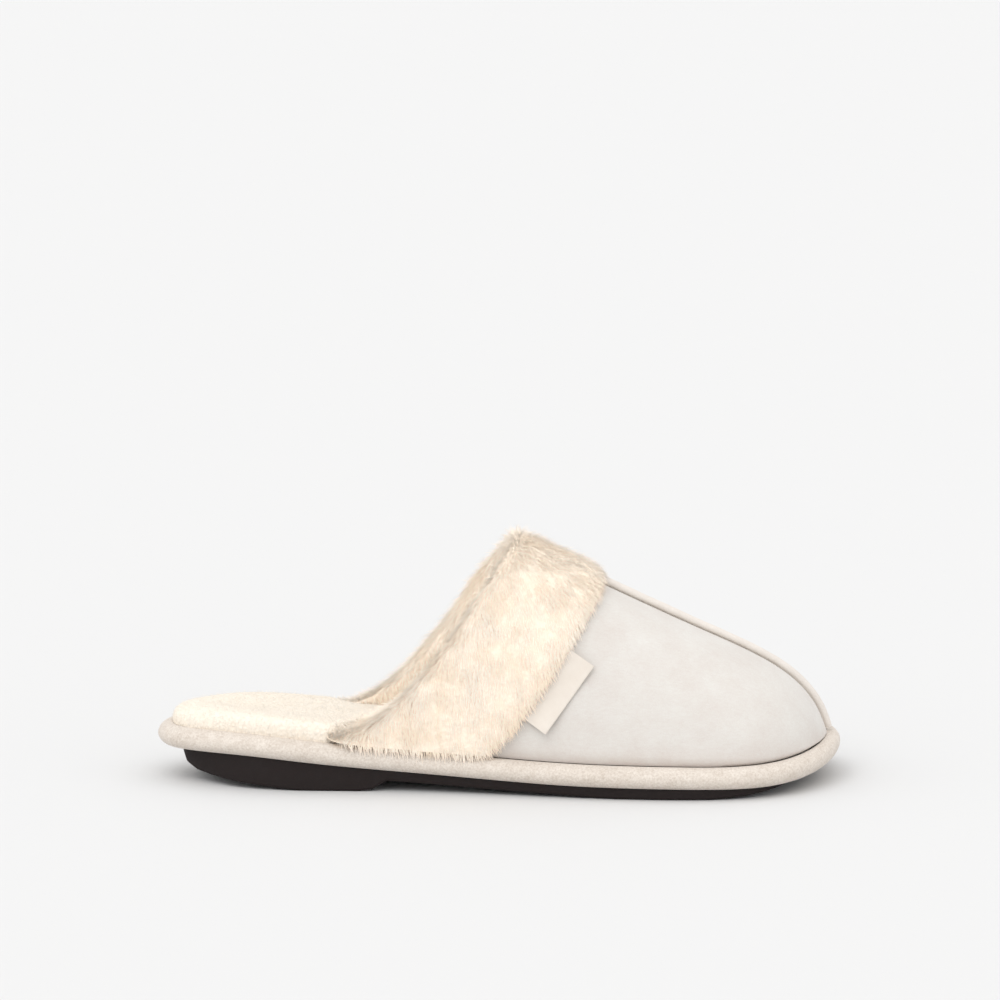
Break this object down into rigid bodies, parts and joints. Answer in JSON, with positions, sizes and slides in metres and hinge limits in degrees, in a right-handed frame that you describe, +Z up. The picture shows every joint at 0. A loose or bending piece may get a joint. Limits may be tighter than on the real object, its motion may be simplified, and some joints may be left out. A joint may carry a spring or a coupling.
{
  "type": "house slipper",
  "caption": "Open-heeled house slipper with a padded suede mule upper, piped centre seam, turned-over fur cuff, plush footbed and rubber outsole.",
  "frame": {"origin": "on the ground, under the middle of the slipper's box", "axes": "+X towards the toe, +Z up, +Y towards the inner side of the foot"},
  "size_m": [0.2641, 0.0991, 0.0959],
  "materials": {
    "outsole_rubber": "matte",
    "platform_foam": "matte",
    "suede": "matte",
    "insole_board": "matte",
    "soft_foam": "matte",
    "plush": "matte",
    "piping_suede": "matte",
    "cord": "matte",
    "thread": "matte",
    "toe_puff": "matte",
    "tape": "matte",
    "fur": "matte"
  },
  "bodies": {
    "slipper": {"outsole": "outsole_rubber", "platform_foam": "platform_foam", "platform_wrap": "suede", "insole_board": "insole_board", "footbed_foam": "soft_foam", "footbed_plush": "plush", "vamp_panel_lateral": "suede", "vamp_panel_medial": "suede", "centre_piping": "piping_suede", "piping_cord": "cord", "centre_seam_thread": "thread", "toe_puff": "toe_puff", "vamp_padding": "soft_foam", "vamp_lining": "plush", "topline_binding": "tape", "fur_cuff": "fur", "cuff_seam_thread": "thread", "feather_seam_thread": "thread", "tab_base": "tape"},
    "tab": {"side_tab": "tape"}
  },
  "joints": [
    {"name": "tab_lift", "type": "hinge", "parent": "slipper", "child": "tab", "pos_m": [0.02101, -0.037, 0.04183], "axis": [-0.5746, -0.0875, -0.8138], "range_deg": [0, 60]}
  ]
}
